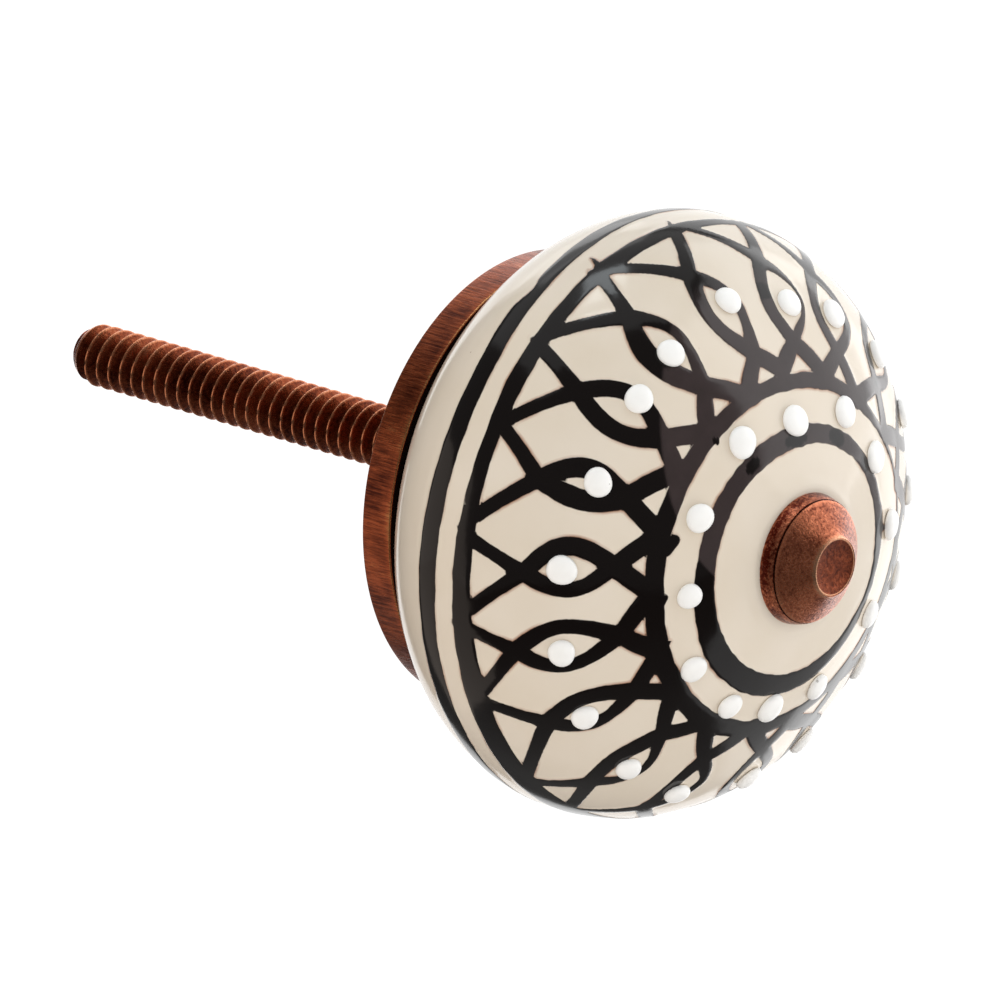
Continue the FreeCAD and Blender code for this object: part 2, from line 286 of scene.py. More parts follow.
# One motif between each tip and the next, two strands that cross twice round an eye:
# first crossing, left and right side of the eye, its middle, second crossing, left and right foot,
# and the widths of the left and right side.
MOTIFS = [
    (87, 15.06, 80.6, 88.5, 17.17, 86.5, 20.74, 71.5, 94.7, 0.82, 1.14),
    (108, 14.95, 101.6, 110, 17.68, 105.9, 20.82, 96, 109.1, 0.68, 1.33),
    (126.9, 14.82, 123.1, 130.8, 17.91, 126.7, 20.78, 111.3, 132.3, 0.94, 1.2),
    (145, 14.84, 140.1, 149.6, 18.46, 144.5, 21.68, 135, 148.3, 0.98, 1.02),
    (164.2, 15.17, 158.2, 168.2, 18.05, 161.3, 21.09, 152.7, 165.8, 1.07, 1.26),
    (182.2, 15.36, 178.7, 185.7, 18.13, 180.5, 21.13, 170.9, 188.1, 1.42, 1.35),
    (200.5, 14.59, 196, 205.2, 17.63, 199.8, 20.99, 189.1, 204.7, 1.22, 1.16),
    (220, 14.49, 214.9, 224.2, 17.92, 219.4, 21.08, 208.3, 224.1, 1.52, 0.79),
    (240.7, 14.18, 234.1, 243.4, 17.59, 237.5, 20.7, 226.6, 245.4, 1.12, 0.82),
    (257.5, 14.29, 252.9, 265.2, 17.05, 257.8, 20.39, 248.4, 264.1, 1.12, 0.38),
    (277.2, 14.17, 270.6, 283.7, 16.87, 274.6, 20.16, 266.5, 282.8, 0.95, 0.85),
    (299.5, 14.69, 293.4, 306.1, 17.15, 298.6, 20.8, 289, 304.5, 0.9, 0.85),
    (320, 14.91, 315.5, 326.5, 18, 320.3, 21, 311, 325.5, 0.95, 0.9),
    (338.5, 15.4, 333.1, 343.9, 18.2, 338, 21.2, 329, 343.5, 1, 0.9),
    (358, 15.5, 352.5, 363, 18.3, 357.5, 21.3, 348.5, 362.5, 0.9, 1),
    (379.9, 15.4, 374.6, 385, 18.3, 379.2, 21.2, 370, 385.5, 1, 0.9),
    (403.9, 15.09, 397.6, 408.3, 18.2, 402.3, 21.1, 392.5, 407, 0.95, 0.9),
    (424.2, 14.7, 417.1, 428.4, 17.58, 421.6, 20.8, 412, 427.5, 0.9, 0.85),
]
ARM_WIDTH, CROSSING_WIDTH, FOOT_WIDTH = 1.3, 1.15, 0.95
# A strand starts this much nearer the axis than its leaf tip, and its foot ends at this distance,
# in the third ring.
TIP_LEAD, FOOT_LINE = 1.1, 24.6

# Short spurs where the brush ran past a ring: (degrees, distance) from and to, widths from and to.
SPURS = [
    (148.8, 25.73, 149.4, 26.22, 0.3, 0.08), (167.7, 25.64, 168.1, 26.14, 0.3, 0.08),
    (205.3, 24.73, 206.3, 25.92, 0.5, 0.12), (225.6, 24.7, 227.7, 26.39, 0.75, 0.12),
    (223.6, 25.1, 224.4, 25.7, 0.5, 0.1), (245.6, 24.65, 247.8, 25.83, 0.6, 0.12),
    (137.1, 11.98, 137.5, 11.53, 0.5, 0.15), (152.2, 12.02, 154, 11.53, 0.9, 0.4),
    (170.7, 11.85, 173.6, 11.3, 1.2, 0.8), (173.1, 11.55, 174.6, 11.45, 0.6, 0.3),
    (211.5, 11.6, 210.6, 11.26, 0.6, 0.3), (265.9, 11.44, 273.3, 11.39, 0.7, 0.3),
    (278.3, 11.45, 283.7, 11.65, 0.3, 0.15), (337.7, 8.82, 340, 9.96, 1, 0.3),
    (249.5, 8.16, 243.6, 8.1, 1.5, 1.2), (214.5, 8.32, 217, 8.31, 1.2, 1),
    (183.8, 8.57, 187.6, 8.57, 1.25, 1.1),
]

# A notch where the cream cuts into the third ring: degrees, deepest distance, mouth, half width.
NOTCH = (172.4, 25.15, 25.9, 0.12)

# Past a line that crosses the second ring, the wash pales by the loss over the fade. The first line below
# gives the line's angle in degrees, the distance at which it has that angle, its slant in degrees a
# millimetre, and the fade in degrees. The wash darkens again from the first to the second of the end pair, in
# degrees, and of the foot pair, in millimetres. The paler wash is partly the paint lying thinner and partly
# painted sheen: its edge is set where the right window's reflection begins on the glaze.
THIN_AND_SHEEN_FROM, THIN_AND_SHEEN_LEVEL, THIN_AND_SHEEN_SLANT, THIN_AND_SHEEN_FADE = 179, 11.4, 6, 2.5
THIN_AND_SHEEN_END, THIN_AND_SHEEN_FOOT = (338, 348), (17.5, 20.5)
THIN_AND_SHEEN_LOSS = 0.75

# Places where the wash was laid twice and stayed deep black: (degrees, distance, half widths).
DEEP_PATCHES = [
    (217.3, 18.73, 1.1, 1.9), (253.1, 17.89, 0.8, 0.65), (264.7, 17.91, 0.5, 0.45),
    (273.8, 19.64, 1.3, 0.75), (271.8, 17.14, 0.25, 0.45), (279.2, 21.85, 0.9, 1.3),
    (284.2, 16.79, 0.6, 0.6), (293.9, 18.2, 0.8, 0.6), (299.2, 14.89, 0.4, 0.4),
    (296.1, 16.21, 0.6, 0.8), (216, 8.31, 0.75, 0.42), (246.5, 8.03, 1.15, 0.5),
    (276.7, 8.29, 0.9, 0.6), (303.5, 8.48, 0.7, 0.4), (337.7, 9.01, 0.8, 0.7),
    (210.5, 11.41, 0.3, 0.25),
]

# Raised enamel dots as laid: (degrees, distance, size against the usual dot).
INNER_DOTS = [
    (46.7, 10.9, 0.95), (72.5, 10.62, 1.08), (95, 10.8, 0.92), (122.6, 10.75, 0.95),
    (152.9, 9.85, 0.9), (183.6, 9.98, 1.01), (218.2, 10, 1.1), (247.8, 9.17, 1.1),
    (280.2, 10.17, 1.08), (308.2, 9.82, 1.1), (339.8, 10.9, 1.03), (372.2, 11.1, 0.95),
]
EYE_DOTS = [
    (85, 18.36, 0.93), (104.9, 18.12, 0.92), (125.7, 18.42, 0.93), (143.5, 18.72, 0.95),
    (162.7, 18.58, 1.03), (183.5, 17.44, 0.99), (205.2, 17.34, 1), (219.2, 17.5, 0.97),
    (241.2, 18, 0.96), (259.9, 16.9, 1), (277.2, 16.9, 1.06), (299.1, 17.16, 1),
    (319.5, 17.9, 0.97), (338.5, 18, 1.03), (358, 18.1, 1), (380, 18, 0.96), (403, 18, 1.02),
    (421.8, 17.9, 1),
]

UNPAINTED = 9.0


def motif_strands(motif, left_tip, right_tip):
    """The two strands of one motif as stations (degrees, distance, width). Each runs from a leaf
    tip over the first crossing, round the far side of the eye, over the second crossing, to a
    foot. The shares of each stretch between these places give the strand its bow."""
    cross, cross_s, left, right, middle, second, second_s = motif[:7]
    left_foot, right_foot, left_width, right_width = motif[7:]
    strands = []
    for tip, side, width, foot, foot_bow in (
        (left_tip, right, right_width, left_foot, 0.5),
        (right_tip, left, left_width, right_foot, 0.55),
    ):
        start = tip[1] - TIP_LEAD
        out = side - cross
        back = side - second
        strands.append([
            (tip[0], start, ARM_WIDTH),
            (tip[0] + 0.52 * (cross - tip[0]), start + 0.5 * (cross_s - start), ARM_WIDTH),
            (cross, cross_s, 0.5 * (ARM_WIDTH + width)),
            (cross + 0.55 * out, cross_s + 0.36 * (middle - cross_s), 0.3 * ARM_WIDTH + 0.7 * width),
            (cross + 0.87 * out, cross_s + 0.66 * (middle - cross_s), width),
            (side, middle, width),
            (second + 0.87 * back, middle + 0.33 * (second_s - middle), width),
            (second + 0.5 * back, middle + 0.67 * (second_s - middle), 0.5 * (width + CROSSING_WIDTH)),
            (second, second_s, CROSSING_WIDTH),
            (second + foot_bow * (foot - second), second_s + 0.5 * (FOOT_LINE - second_s), FOOT_WIDTH),
            (foot, FOOT_LINE, FOOT_WIDTH),
        ])
    return strands


def stroke_distance(degrees, distance, across, stations):
    """Signed millimetres from a brush stroke, less inside it: the least over points along the
    stroke of the distance to the point less half the width there. Only the part of the glaze
    near the stroke is worked out."""
    line = curve_through(stations, 14)
    reach = np.abs(short_way(degrees - line[:, 0].mean())) < 0.5 * np.ptp(line[:, 0]) + 9
    rows = (distance > line[:, 1].min() - 2) & (distance < line[:, 1].max() + 2)
    field = np.full((len(distance), len(degrees)), UNPAINTED)
    aside = short_way(degrees[reach][None, :, None] - line[None, None, :, 0])
    aside = np.radians(aside) * across[rows][:, None, None]
    along = distance[rows][:, None, None] - line[None, None, :, 1]
    near = (np.hypot(aside, along) - line[None, None, :, 2] / 2).min(axis=-1)
    field[np.ix_(rows, reach)] = near
    return field


def painted(degrees, distance, across, rng):
    """Two fields over the glaze: paint, the signed millimetres from the nearest painted edge, and how darkly
    the wash lies, from 0 to 1. This stands for how thickly it lies and, where it pales on the right, partly
    for painted sheen."""
    field = np.full((len(distance), len(degrees)), UNPAINTED)
    s = distance[:, None]
    for inner, outer in RING_EDGES:
        top = ring_curve(inner)(degrees)
        bottom = ring_curve(outer)(degrees)
        for wave in RIPPLES:
            top = top + INNER_RIPPLE * np.sin(np.radians(wave * degrees) + rng.uniform(0, TURN))
            bottom = bottom + OUTER_RIPPLE * np.sin(np.radians(wave * degrees) + rng.uniform(0, TURN))
        field = np.minimum(field, np.maximum(top - s, s - bottom))
    next_tips = LEAF_TIPS[1:] + [(LEAF_TIPS[0][0] + 360, LEAF_TIPS[0][1])]
    for motif, left_tip, right_tip in zip(MOTIFS, LEAF_TIPS, next_tips):
        for stations in motif_strands(motif, left_tip, right_tip):
            stations = np.array(stations)
            stations[:, 2] *= rng.uniform(0.96, 1.04, len(stations))
            field = np.minimum(field, stroke_distance(degrees, distance, across, stations))
    for d0, s0, d1, s1, w0, w1 in SPURS:
        ends = [(d0, s0, w0), (d1, s1, w1)]
        field = np.minimum(field, stroke_distance(degrees, distance, across, ends))

    at, deep, mouth, half = NOTCH
    aside = np.abs(np.radians(short_way(degrees - at))[None, :] * across[:, None])
    notch = (aside - half * np.clip((s - deep) / (mouth - deep), 0, 1.5)) * 0.8
    inside = (s > deep - 0.4) & (s < mouth + 0.6)
    field = np.where(inside, np.maximum(field, -notch), field)

    # Painted sheen: past this slanting line the wash pales, partly for the paint lying thinner and partly to
    # stand for the right window's reflection.
    thin_and_sheen_from = THIN_AND_SHEEN_FROM + THIN_AND_SHEEN_SLANT * (s - THIN_AND_SHEEN_LEVEL)
    thin_and_sheen = smooth_step(thin_and_sheen_from, thin_and_sheen_from + THIN_AND_SHEEN_FADE, degrees[None, :])
    thin_and_sheen = thin_and_sheen * (1 - smooth_step(*THIN_AND_SHEEN_END, degrees))[None, :]
    thin_and_sheen = thin_and_sheen * (1 - smooth_step(*THIN_AND_SHEEN_FOOT, s))
    wash_depth_and_sheen = 1 - THIN_AND_SHEEN_LOSS * thin_and_sheen
    for at, middle, half_across, half_along in DEEP_PATCHES:
        aside = np.radians(short_way(degrees - at))[None, :] * across[:, None]
        size = np.hypot(aside / half_across, (s - middle) / half_along)
        wash_depth_and_sheen = np.maximum(wash_depth_and_sheen, 1 - smooth_step(0.85, 1.1, size))
    return field, wash_depth_and_sheen


def glaze_finish():
    """Cream stoneware glaze with a painted black-brown wash under a clear gloss: pale and slightly warm,
    faintly mottled, with specks of iron and narrow rusty fringes at the paint. Where the wash pales to grey,
    it is partly painted sheen."""
    material, tree = finish_named("cream_glaze_with_iron_wash")
    place = node(tree, "TexCoord").outputs["Object"]
    paint = node(tree, "Attribute", attribute_name="paint").outputs["Fac"]
    wash_depth_and_sheen = node(tree, "Attribute", attribute_name="wash_depth_and_sheen").outputs["Fac"]
    # Brush edges waver over about 0.7 mm, by up to 0.05 mm.
    waver = node(tree, "TexNoise", {"Vector": place, "Scale": 1 / (0.7 * MM), "Detail": 2.0})
    wavered = node(tree, "Math", {0: waver.outputs["Fac"], 1: 0.5}, operation="SUBTRACT")
    edge = node(tree, "Math", {0: wavered.outputs[0], 1: 0.09, 2: paint}, operation="MULTIPLY_ADD")
    mask = node(tree, "MapRange", {"Value": edge.outputs[0], "From Min": -0.035, "From Max": 0.045,
                                   "To Min": 1.0, "To Max": 0.0}, interpolation_type="SMOOTHSTEP")
    # The cream body, mottled over about 6 mm.
    mottle = node(tree, "TexNoise", {"Vector": place, "Scale": 1 / (6 * MM), "Detail": 3.0})
    cream = node(tree, "Mix", {0: mottle.outputs["Fac"], 6: linear("#d9ccb9"), 7: linear("#e6dccf")},
                 data_type="RGBA")
    # Iron specks up to 0.2 mm across, some 2.4 mm apart.
    specks = node(tree, "TexVoronoi", {"Vector": place, "Scale": 1 / (2.4 * MM)})
    speck_size = node(tree, "Math", {0: specks.outputs["Color"], 1: 0.045}, operation="MULTIPLY")
    speck = node(tree, "Math", {0: specks.outputs["Distance"], 1: speck_size.outputs[0]},
                 operation="LESS_THAN")
    faint = node(tree, "Math", {0: speck.outputs[0], 1: 0.45}, operation="MULTIPLY")
    body = node(tree, "Mix", {0: faint.outputs[0], 6: cream.outputs[2], 7: linear("#8a5b3e")},
                data_type="RGBA")
    # A rusty fringe up to 0.2 mm wide, in places some 3.5 mm apart.
    rust_here = node(tree, "TexNoise", {"Vector": place, "Scale": 1 / (3.5 * MM), "Detail": 1.0})
    rust_share = node(tree, "MapRange", {"Value": rust_here.outputs["Fac"], "From Min": 0.42,
                                         "From Max": 0.68})
    fringe = node(tree, "MapRange", {"Value": edge.outputs[0], "From Min": 0.02, "From Max": 0.2,
                                     "To Min": 0.75, "To Max": 0.0})
    rusty = node(tree, "Math", {0: fringe.outputs[0], 1: rust_share.outputs[0]}, operation="MULTIPLY")
    edged = node(tree, "Mix", {0: rusty.outputs[0], 6: body.outputs[2], 7: linear("#9c5f38")},
                 data_type="RGBA")
    # The wash is dark grey-brown where it lies thinner and nearly black where it lies thicker; the grey-brown
    # is partly painted sheen.
    streaks = node(tree, "TexNoise", {"Vector": place, "Scale": 1 / (1.6 * MM), "Detail": 3.0})
    thickness_and_sheen = node(tree, "Math", {0: streaks.outputs["Fac"], 1: 0.35, 2: wash_depth_and_sheen}, operation="MULTIPLY_ADD")
    thickness_and_sheen_share = node(tree, "MapRange", {"Value": thickness_and_sheen.outputs[0], "From Min": 0.35, "From Max": 1.1})
    wash = node(tree, "Mix", {0: thickness_and_sheen_share.outputs[0], 6: linear("#3a3131"), 7: linear("#0c0706")},
                data_type="RGBA")
    colour = node(tree, "Mix", {0: mask.outputs[0], 6: edged.outputs[2], 7: wash.outputs[2]},
                  data_type="RGBA")
    gloss = node(tree, "MapRange", {"Value": mottle.outputs["Fac"], "To Min": 0.09, "To Max": 0.17})
    # Relief: the paint stands 0.05 mm proud, and the glaze is faintly uneven over 1.8 mm.
    peel = node(tree, "TexNoise", {"Vector": place, "Scale": 1 / (1.8 * MM), "Detail": 2.0})
    relief = node(tree, "Math", {0: peel.outputs["Fac"], 1: 0.35, 2: mask.outputs[0]},
                  operation="MULTIPLY_ADD")
    bump = node(tree, "Bump", {"Height": relief.outputs[0], "Distance": 0.05 * MM, "Strength": 0.8})
    shader = node(tree, "BsdfPrincipled", {"Base Color": colour.outputs[2], "Roughness": gloss.outputs[0],
                                           "IOR": 1.5, "Normal": bump.outputs[0]})
    node(tree, "OutputMaterial", {"Surface": shader.outputs[0]})
    return material


def enamel_finish():
    """White relief enamel, trailed on as drops and fired: opaque, bright, softly glossy, with
    the odd pinhole."""
    material, tree = finish_named("white_relief_enamel")
    place = node(tree, "TexCoord").outputs["Object"]
    # Cloudy over about 0.9 mm, in colour and in a 0.06 mm relief.
    cloud = node(tree, "TexNoise", {"Vector": place, "Scale": 1 / (0.9 * MM), "Detail": 3.0})
    white = node(tree, "Mix", {0: cloud.outputs["Fac"], 6: linear("#f1f0ee"), 7: linear("#fdfdfc")},
                 data_type="RGBA")
    # Pinholes up to 0.2 mm across, some 1.3 mm apart.
    holes = node(tree, "TexVoronoi", {"Vector": place, "Scale": 1 / (1.3 * MM)})
    hole_size = node(tree, "Math", {0: holes.outputs["Color"], 1: 0.085}, operation="MULTIPLY")
    hole = node(tree, "Math", {0: holes.outputs["Distance"], 1: hole_size.outputs[0]},
                operation="LESS_THAN")
    hole_share = node(tree, "Math", {0: hole.outputs[0], 1: 0.5}, operation="MULTIPLY")
    colour = node(tree, "Mix", {0: hole_share.outputs[0], 6: white.outputs[2], 7: linear("#6f665e")},
                  data_type="RGBA")
    bump = node(tree, "Bump", {"Height": cloud.outputs["Fac"], "Distance": 0.06 * MM, "Strength": 0.7})
    shader = node(tree, "BsdfPrincipled", {"Base Color": colour.outputs[2], "Roughness": 0.28, "IOR": 1.5,
                                           "Normal": bump.outputs[0]})
    node(tree, "OutputMaterial", {"Surface": shader.outputs[0]})
    return material


def copper_finish(name, dark, middle, bright, grain, brushed):
    """Antique copper: plated metal darkened by patina, rubbed back and thinly lacquered, so that edges and
    high grain show bright copper. Where its vertex attribute falls below 0, shade is painted: the colour goes
    darker, down to near black with no lacquer at -1. grain is the patina's size in millimetres; brushed draws
    it out along the axis into fine lines."""
    material, tree = finish_named(name)
    place = node(tree, "TexCoord").outputs["Object"]
    stretch = (1.0, 0.07, 1.0) if brushed else (1.0, 1.0, 1.0)
    mapped = node(tree, "Mapping", {"Vector": place, "Scale": stretch}).outputs[0]
    # The vertex attribute is above 0 where the metal is rubbed, and falls to -1 where shade is painted.
    wear_and_shade = node(tree, "Attribute", attribute_name="wear_and_shade").outputs["Fac"]
    # Patina: fine grain over clouds of about 3.2 mm, from dark to middle to bright.
    fine = node(tree, "TexNoise", {"Vector": mapped, "Scale": 1 / (grain * MM), "Detail": 4.0,
                                   "Roughness": 0.65})
    broad = node(tree, "TexNoise", {"Vector": place, "Scale": 1 / (3.2 * MM), "Detail": 3.0})
    clean = node(tree, "Math", {0: broad.outputs["Fac"], 1: 0.8, 2: fine.outputs["Fac"]},
                 operation="MULTIPLY_ADD")
    patina = node(tree, "Math", {0: clean.outputs[0], 1: wear_and_shade}, operation="ADD")
    share = node(tree, "MapRange", {"Value": patina.outputs[0], "From Min": 0.66, "From Max": 1.04})
    base = node(tree, "Mix", {0: share.outputs[0], 6: linear(dark), 7: linear(middle)},
                data_type="RGBA")
    rubbed_share = node(tree, "MapRange", {"Value": patina.outputs[0], "From Min": 1.05,
                                           "From Max": 1.6})
    colour = node(tree, "Mix", {0: rubbed_share.outputs[0], 6: base.outputs[2], 7: linear(bright)},
                  data_type="RGBA")
    # Painted shade: from -0.2 down to -1 the colour goes to near black, #0a0504.
    painted_shade_share = node(tree, "MapRange", {"Value": wear_and_shade, "From Min": -1.0, "From Max": -0.2, "To Min": 1.0,
                                   "To Max": 0.0})
    shade_painted = node(tree, "Mix", {0: painted_shade_share.outputs[0], 6: colour.outputs[2], 7: linear("#0a0504")},
                  data_type="RGBA")
    if brushed:
        # Dark scratches, finer than the grain.
        lines = node(tree, "TexNoise", {"Vector": mapped, "Scale": 2.6 / (grain * MM), "Detail": 1.0})
        cut = node(tree, "MapRange", {"Value": lines.outputs["Fac"], "From Min": 0.54, "From Max": 0.62,
                                      "To Max": 0.5})
        shade_painted = node(tree, "Mix", {0: cut.outputs[0], 6: shade_painted.outputs[2], 7: linear(dark)},
                      data_type="RGBA")
    rough = node(tree, "MapRange", {"Value": fine.outputs["Fac"], "From Min": 0.3, "From Max": 0.7,
                                    "To Min": 0.38, "To Max": 0.2})
    bump = node(tree, "Bump", {"Height": fine.outputs["Fac"], "Distance": 0.05 * MM, "Strength": 0.75})
    bare = node(tree, "MapRange", {"Value": rubbed_share.outputs[0], "To Min": 0.97, "To Max": 1.0})
    # Where shade is painted, the lacquer goes from 0.18 to none, so the painted shade has no gloss.
    lacquer = node(tree, "MapRange", {"Value": wear_and_shade, "From Min": -1.0, "From Max": -0.2, "To Max": 0.18})
    shader = node(tree, "BsdfPrincipled", {"Base Color": shade_painted.outputs[2], "Metallic": bare.outputs[0],
                                           "Roughness": rough.outputs[0], "Normal": bump.outputs[0],
                                           "Coat Weight": lacquer.outputs[0], "Coat Roughness": 0.25})
    node(tree, "OutputMaterial", {"Surface": shader.outputs[0]})
    return material


GLAZE = glaze_finish()
ENAMEL = enamel_finish()
BASE_COPPER = copper_finish("antique_copper_brushed_base", "#4c1806", "#ae5834", "#dda268", 0.15, True)
CAP_COPPER = copper_finish("antique_copper_rubbed_cap", "#601805", "#e68a64", "#f8b890", 0.2, False)
ROD_COPPER = copper_finish("antique_copper_rolled_thread", "#441003", "#9c4c2c", "#e8986e", 0.26, False)

# The ceramic: a fine grid over the painted part of the glaze, a coarser one behind FINE_END.
COLUMNS, ROW_STEP, FINE_END = 500, 0.2, 29.6
PAINT_RELIEF = 0.05
# The form wavers as thrown clay does: waves round, radians a millimetre along, and size.
FORM_WAVES = ((3, 0.21, 0.018), (5, 0.33, 0.014), (9, 0.6, 0.008), (14, 0.9, 0.006))

degrees = np.arange(COLUMNS) * 360 / COLUMNS
angles = np.radians(ORNAMENT_START - degrees)
front_rows = np.arange(SEAT_RADIUS * 1.004, FINE_END, ROW_STEP)
back_rows = np.linspace(FINE_END, FOOT_END, 12)
glaze_rows = np.concatenate([front_rows, back_rows])
glaze_across, glaze_forward, glaze_lean = glaze_outline(glaze_rows)
rng = np.random.default_rng(SEED)
paint, wash_depth_and_sheen = painted(degrees, glaze_rows, glaze_across, rng)

# The bare glaze lies PAINT_RELIEF under the painted strokes. This and the waves fade out at the
# seat and the foot.
lowered = PAINT_RELIEF * smooth_step(-0.05, 0.12, paint)
for round_wave, along_wave, size in FORM_WAVES:
    wave = np.sin(np.radians(round_wave * degrees)[None, :] + along_wave * glaze_rows[:, None]
                  + rng.uniform(0, TURN))
    lowered = lowered + size * (1 - wave)
held = smooth_step(SEAT_RADIUS, SEAT_RADIUS + 0.8, glaze_rows) * (1 - smooth_step(30.5, FOOT_END, glaze_rows))
lowered = lowered * held[:, None]
glaze_points = turned_points(
    glaze_across[:, None] - lowered * np.sin(glaze_lean)[:, None],
    glaze_forward[:, None] - lowered * np.cos(glaze_lean)[:, None],
    angles[None, :],
)

# Out of sight: in along the foot to the bore, forwards along it, and out along the cap's seat.
hidden_across = np.concatenate([
    np.linspace(glaze_across[-1], BORE_RADIUS, 10)[1:], np.full(5, BORE_RADIUS), [3.2, 4.2],
])
hidden_forward = np.concatenate([
    np.full(9, BASE_HEIGHT), np.linspace(BASE_HEIGHT, SEAT_HEIGHT, 6)[1:], [SEAT_HEIGHT, SEAT_HEIGHT],
])
hidden_points = turned_points(hidden_across[:, None], hidden_forward[:, None], angles[None, :])
unpainted = np.full((len(hidden_across), COLUMNS), UNPAINTED)
ceramic = surface(
    "painted_ceramic", np.vstack([glaze_points, hidden_points]), GLAZE,
    {"paint": np.vstack([paint, unpainted]), "wash_depth_and_sheen": np.vstack([wash_depth_and_sheen, np.ones_like(unpainted)])},
)


def dot_grid(at, distance, size, rng):
    """One enamel drop: a flattened ball, r = a sin(t)^0.9 and height = rise cos(t)^0.8 above the
    glaze and root cos(t) below it, slightly out of round, set square to the glaze."""
    t = np.linspace(0, math.pi, 15)[:, None]
    turn = np.linspace(0, TURN, 26, endpoint=False)[None, :]
    rim = DOT_RADIUS * size * (1 + 0.035 * np.cos(2 * turn + rng.uniform(0, TURN))
                               + 0.02 * np.cos(3 * turn + rng.uniform(0, TURN)))
    rise = DOT_RISE * rng.uniform(0.93, 1.0)
    up = np.where(t < math.pi / 2, rise * np.abs(np.cos(t)) ** 0.8, -DOT_ROOT * np.abs(np.cos(t)))
    out = np.sin(t) ** 0.9
    across, forward, lean = (float(value) for value in glaze_outline(np.array(distance)))
    angle = math.radians(ORNAMENT_START - at)
    centre = np.array([across * math.cos(angle), -forward, across * math.sin(angle)])
    normal = np.array([math.sin(lean) * math.cos(angle), -math.cos(lean), math.sin(lean) * math.sin(angle)])
    side = np.array([-math.sin(angle), 0, math.cos(angle)])
    slope = np.cross(normal, side)
    u, v, w = rim * out * np.cos(turn), rim * out * np.sin(turn), up + 0 * turn
    return centre + u[..., None] * side + v[..., None] * slope + w[..., None] * normal


dots = joined("enamel_dots", [dot_grid(*dot, rng) for dot in INNER_DOTS + EYE_DOTS], ENAMEL)


def turned(name, outline, material, columns, wear_and_shade_marks, shade_painted=(0, 0)):
    """A closed outline of (across, forward) carried once round the axis. Each corner (across, forward,
    strength, reach) adds its strength to the vertex attribute there, falling to 0 at its reach: above 0 it
    marks rubbed metal, below 0 painted shade. The attribute is -1, painted shade, where across is under the
    last argument's first number and forward over its second."""
    across, forward = outline[:, 0], outline[:, 1]
    turn = -np.linspace(0, TURN, columns, endpoint=False)[None, :]
    points = turned_points(across[:, None], forward[:, None], turn)
    wear_and_shade = np.zeros(len(outline))
    for worn_across, worn_forward, strength, reach in wear_and_shade_marks:
        away = np.hypot(across - worn_across, forward - worn_forward)
        wear_and_shade = wear_and_shade + strength * (1 - smooth_step(0, reach, away))
    wear_and_shade = np.where((across < shade_painted[0]) & (forward > shade_painted[1]), -1, wear_and_shade)
    return surface(name, points, material, {"wear_and_shade": np.repeat(wear_and_shade[:, None], columns, axis=1)})


# The base: a shallow cup, its wall brushed. Painted shade, near black, lies on its front face in the gap
# under the ceramic.
base_edge = BASE_HEIGHT - BASE_FALL
base_inside = BASE_RADIUS - BASE_WALL
base_outline = divided(rounded([
    (BASE_HOLE, BASE_HEIGHT - BASE_WEB, 0.1),
    (BASE_HOLE, BASE_HEIGHT, 0.1),
    (BASE_RADIUS - BASE_FALL_WIDTH, BASE_HEIGHT, 0.4),
    (BASE_RADIUS, base_edge, 0.12),
    (BASE_RADIUS, 0, 0.15),
    (base_inside, 0, 0.12),
    (base_inside, BASE_HEIGHT - BASE_WEB, 0.35),
]), 0.5)[::-1]
base = turned(
    "copper_base", base_outline, BASE_COPPER, 240,
    wear_and_shade_marks=((BASE_RADIUS, base_edge - 0.06, 0.7, 0.09), (BASE_RADIUS - 0.04, 0.04, 0.6, 0.09),
          (base_inside, 0.04, 0.5, 0.09)),
    # Painted shade, near black, over the front face inside its rubbed edge.
    shade_painted=(BASE_RADIUS - 0.09, base_edge - 0.04),
)

# The cap: a leaning flange, a seam, and a cone up to the lip round the rod's bore. Its lip and the cone's
# foot are rubbed, painted shade darkens the seam to near black, and the flange is a little darker.
seat = SEAT_HEIGHT
flange_top = seat + CAP_RIM
lip_height = seat + CAP_HEIGHT
cap_outline = divided(rounded([
    (MATE_RADIUS, seat, 0.02),
    (MATE_RADIUS, lip_height - ROD_RECESS, 0.01),
    (LIP_RADIUS - 0.02, lip_height, 0.12),
    (LIP_RADIUS + 0.2, lip_height - 0.34, 0.4),
    (CONE_RADIUS, flange_top + SEAM_WIDTH, 0.14),
    (CONE_RADIUS - SEAM_DEPTH, flange_top + SEAM_WIDTH, 0.02),
    (CONE_RADIUS - SEAM_DEPTH, flange_top, 0.02),
    (CAP_RADIUS - 0.22, flange_top, 0.1),
    (CAP_RADIUS - 0.1, flange_top - 0.3, 0.4),
    (CAP_RADIUS, seat, 0.05),
]), 0.12)[::-1]
cap = turned(
    "copper_cap", cap_outline, CAP_COPPER, 160,
    # Of these corners, the seam's negative strength paints shade, near black, and the flange's small one
    # makes it a little darker.
    wear_and_shade_marks=((LIP_RADIUS - 0.04, lip_height, 0.7, 0.4), (CONE_RADIUS, flange_top + 0.25, 0.4, 0.3),
          (CONE_RADIUS - 0.12, flange_top + 0.06, -1.3, 0.15), (CAP_RADIUS, seat + 0.4, -0.2, 0.5)),
)

# The rod's grid has this many columns and rows to a pitch. Its rows follow the thread on the part
# behind FINE_START, three times as fine as those inside the knob, which start a little behind its
# front end.
ROD_COLUMNS, ROWS_A_PITCH, FINE_START = 60, 12, 0.3
FLAT_SHARE = 0.1


